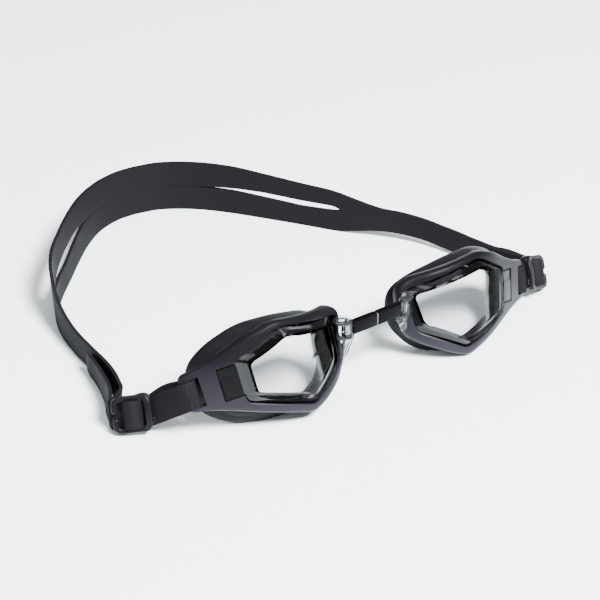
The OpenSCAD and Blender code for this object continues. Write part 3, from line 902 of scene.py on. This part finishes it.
def at_buckle(side, layer):
    """Two stations behind the buckle's outer bar: the strap's lower and upper edge at each."""
    return [from_buckle(side, [(x, y, 1.9), (x, y, BUCKLE_H - 1.9)])
            for x, y in ((BUCKLE_L - 1.2, 1.2 + layer), (BUCKLE_L + 0.9, 2.2 + layer))]


# Rows of faces below and above the split, and the height under which it counts as closed
LOW_ROWS, HIGH_ROWS = 6, 6
FLAT = 1e-5


def build_strap():
    """The whole strap from one buckle round the back to the other, with the long split cut through."""
    columns = []
    for side in SIDES:
        route = ROUTE[side]
        low, high = edges_of(route, at_buckle(side, 1.5 if side == "left" else 0.2))
        split = [(0.5, 0)] * 2
        split += [((s[5] + s[6] / 2) / s[3], s[6] / s[3]) if s[6] else (0.5, 0) for s in route]
        split = np.array(split)
        opens = next(i for i, s in enumerate(split) if s[1] > 0)
        split[:opens, 0] = split[opens, 0]
        station = np.arange(len(low)) / STEPS
        fine = np.stack([np.interp(station, np.arange(len(split)), split[:, k]) for k in (0, 1)], 1)
        # The end of the split is round
        lead = opens - 0.35
        grow = np.clip((station - lead) / 0.5, 0, 1)
        tall = np.where(station < opens, split[opens, 1], fine[:, 1])
        height = np.where(station > lead, np.sqrt(1 - (1 - grow) ** 2), 0) * tall
        low, high = world(side, low), world(side, high)
        columns.append([(low[i], high[i], fine[i, 0], height[i]) for i in range(len(low))])
    left, right = columns[0], columns[1][::-1][1:]
    verts, stations, faces, index = [], [], [], []
    for k, (low, high, mid, height) in enumerate(left + right):
        rows = []
        for r in range(LOW_ROWS + 1):
            f = (mid - height / 2) * r / LOW_ROWS
            rows.append(len(verts))
            verts.append(low + (high - low) * f)
            stations.append(k)
        upper = [rows[-1]] if height < FLAT else []
        for r in range(len(upper), HIGH_ROWS + 1):
            f = (mid + height / 2) + (1 - mid - height / 2) * r / HIGH_ROWS
            upper.append(len(verts))
            verts.append(low + (high - low) * f)
            stations.append(k)
        index.append((rows, upper))
    for (a, au), (b, bu) in zip(index, index[1:]):
        faces += [(a[r], a[r + 1], b[r + 1], b[r]) for r in range(LOW_ROWS)]
        faces += [(au[r], au[r + 1], bu[r + 1], bu[r]) for r in range(HIGH_ROWS)]
    mesh = bpy.data.meshes.new("strap")
    mesh.from_pydata([tuple(v) for v in verts], [], faces)
    tag = mesh.attributes.new("station", "FLOAT", "POINT")
    tag.data.foreach_set("value", np.array(stations, np.float32))
    obj = placed("strap", mesh)
    thick = obj.modifiers.new("thick", "SOLIDIFY")
    thick.thickness = 0.0015
    thick.offset = 0
    round_off = obj.modifiers.new("round", "BEVEL")
    round_off.width = 0.00035
    round_off.segments = 3
    round_off.limit_method = "ANGLE"
    round_off.angle_limit = math.radians(50)
    baked(obj)
    return obj, len(left)


def station_tags(mesh):
    """The station of every point of a strap."""
    tags = np.zeros(len(mesh.vertices), np.float32)
    mesh.attributes["station"].data.foreach_get("value", tags)
    return tags


def section(whole, name, first, last):
    """The part of the strap between two stations, with the whole strap's shading."""
    mesh = whole.data
    tags = station_tags(mesh)
    keep = [p for p in mesh.polygons if first < np.mean([tags[v] for v in p.vertices]) < last]
    used = sorted({v for p in keep for v in p.vertices})
    order = {v: i for i, v in enumerate(used)}
    piece = bpy.data.meshes.new(name)
    points = [tuple(mesh.vertices[v].co) for v in used]
    piece.from_pydata(points, [], [tuple(order[v] for v in p.vertices) for p in keep])
    piece.polygons.foreach_set("use_smooth", [True] * len(piece.polygons))
    piece.normals_split_custom_set_from_vertices([tuple(mesh.vertex_normals[v].vector) for v in used])
    return placed(name, piece)


strap, left_count = build_strap()
strap_tags = station_tags(strap.data)
strap_points = np.array([v.co for v in strap.data.vertices])


def middle(station):
    """The middle of the strap at a station."""
    return strap_points[np.abs(strap_tags - station) < 0.01].mean(0)


# Stations at which the strap is cut, counted from the buckle, and the two bodies listed for each piece
TAIL_CUT = 2 * STEPS
CUTS = (0, TAIL_CUT, 5 * STEPS)
CHAIN = (("buckle", "loop"), ("loop", "cup"), ("cup", "bridge"))
last_station = int(round(strap_tags.max()))
BENDS = {}
for side in SIDES:
    marks = [m if side == "left" else last_station - m for m in CUTS] + [left_count - 1]
    for k, (a, b) in enumerate(CHAIN):
        first, last = marks[k], marks[k + 1]
        piece = section(strap, f"{side}_strap_{k + 1}", min(first, last), max(first, last))
        dress(piece, STRAP)
        a = side + "_" + a
        b = b if b == "bridge" else side + "_" + b
        p, q = middle(first), middle(last)
        # Points a short way in from both ends of each piece are recorded with its bodies
        gap = 0.2 if k < 2 else 0.06
        BENDS[side, k] = (a, b, tuple(p + (q - p) * gap), tuple(p + (q - p) * (1 - gap)))
        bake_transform(piece)
        if k == 2:
            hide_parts(side + "_strap_half")
bpy.data.objects.remove(strap)


def build_tail(side):
    """The strap's free end beside the strap, and the number of its stations."""
    low, high = edges_of(TAIL[side], at_buckle(side, 3.0 if side == "left" else 1.8))
    mid, up = (low + high) / 2, high - low
    width = np.linalg.norm(up, axis=1) / 2
    # The free end is rounded off
    width[-3:] *= (0.98, 0.9, 0.72)
    whole = swept(side + "_free_end", mid, up, width, HALF_T, lambda p: world(side, p), corner=0.35)
    ring = len(whole.data.vertices) // len(mid)
    tag = whole.data.attributes.new("station", "FLOAT", "POINT")
    tag.data.foreach_set("value", np.arange(len(whole.data.vertices), dtype=np.float32) // ring)
    return whole, len(mid)


# Each free end is cut at the same station as the strap beside it
for side in SIDES:
    whole, count = build_tail(side)
    for k, (first, last) in enumerate(((-1, TAIL_CUT), (TAIL_CUT, count))):
        piece = section(whole, f"{side}_strap_free_end_{k + 1}", first, last)
        dress(piece, STRAP)
        a, b, start, end = BENDS[side, k]
        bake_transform(piece)
        if k == 1:
            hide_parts(side + "_strap_tail")
    bpy.data.objects.remove(whole)

# ---- Floor, light and camera ----

floor_mesh = bpy.data.meshes.new("floor")
floor_mesh.from_pydata([(-6, -6, 0), (6, -6, 0), (6, 6, 0), (-6, 6, 0)], [], [(0, 1, 2, 3)])
floor = placed("floor", floor_mesh)
floor_mat = material("pale floor", (0.765, 0.82, 0.838), 0.6, grain=80, bump=0.0, specular=0.15, tint=0.004)
floor_mesh.materials.append(floor_mat)

VIEW_TURN, VIEW_DOWN = math.radians(-37.2), math.radians(30)
right = Vector((math.cos(VIEW_TURN), math.sin(VIEW_TURN), 0))
level = Vector((-math.sin(VIEW_TURN), math.cos(VIEW_TURN), 0))
forward = math.cos(VIEW_DOWN) * level - Vector((0, 0, math.sin(VIEW_DOWN)))
up = math.sin(VIEW_DOWN) * level + Vector((0, 0, math.cos(VIEW_DOWN)))
camera = placed("camera", bpy.data.cameras.new("camera"))
camera.data.lens = 132.3
camera.data.sensor_width = 36
camera.data.clip_end = 20
# The nose stands a little right of and below the middle of the view
EYE_DISTANCE, ASIDE, BELOW = 0.9, 0.04354, 0.04041
eye = NOSE - EYE_DISTANCE * (forward + ASIDE * right - BELOW * up)
camera.matrix_world = Matrix.Translation(eye) @ Matrix((right, up, -forward)).transposed().to_4x4()
bpy.context.scene.camera = camera

middle_of = (Vector(rest_size[0]) + Vector(rest_size[1])) / 2


def area(name, direction, distance, size, power):
    """A soft lamp facing the goggles: direction is right, away and up as the camera sees them."""
    lamp = placed(name, bpy.data.lights.new(name, "AREA"))
    lamp.data.size = size
    lamp.data.energy = power
    d = (right * direction[0] + level * direction[1] + Vector((0, 0, direction[2]))).normalized()
    lamp.location = middle_of + d * distance
    lamp.rotation_euler = d.to_track_quat("Z", "Y").to_euler()


area("key", (0.66, -0.8, 1.25), 2.0, 0.58, 290)
area("fill", (-0.4, -0.9, 0.9), 1.8, 1.0, 13)
area("top", (-0.1, 0.35, 1), 1.8, 0.7, 12)
world_light = bpy.data.worlds.new("studio")
world_light.use_nodes = True
world_light.node_tree.nodes["Background"].inputs["Color"].default_value = (0.85, 0.84, 0.875, 1)
world_light.node_tree.nodes["Background"].inputs["Strength"].default_value = 0.5
bpy.context.scene.world = world_light
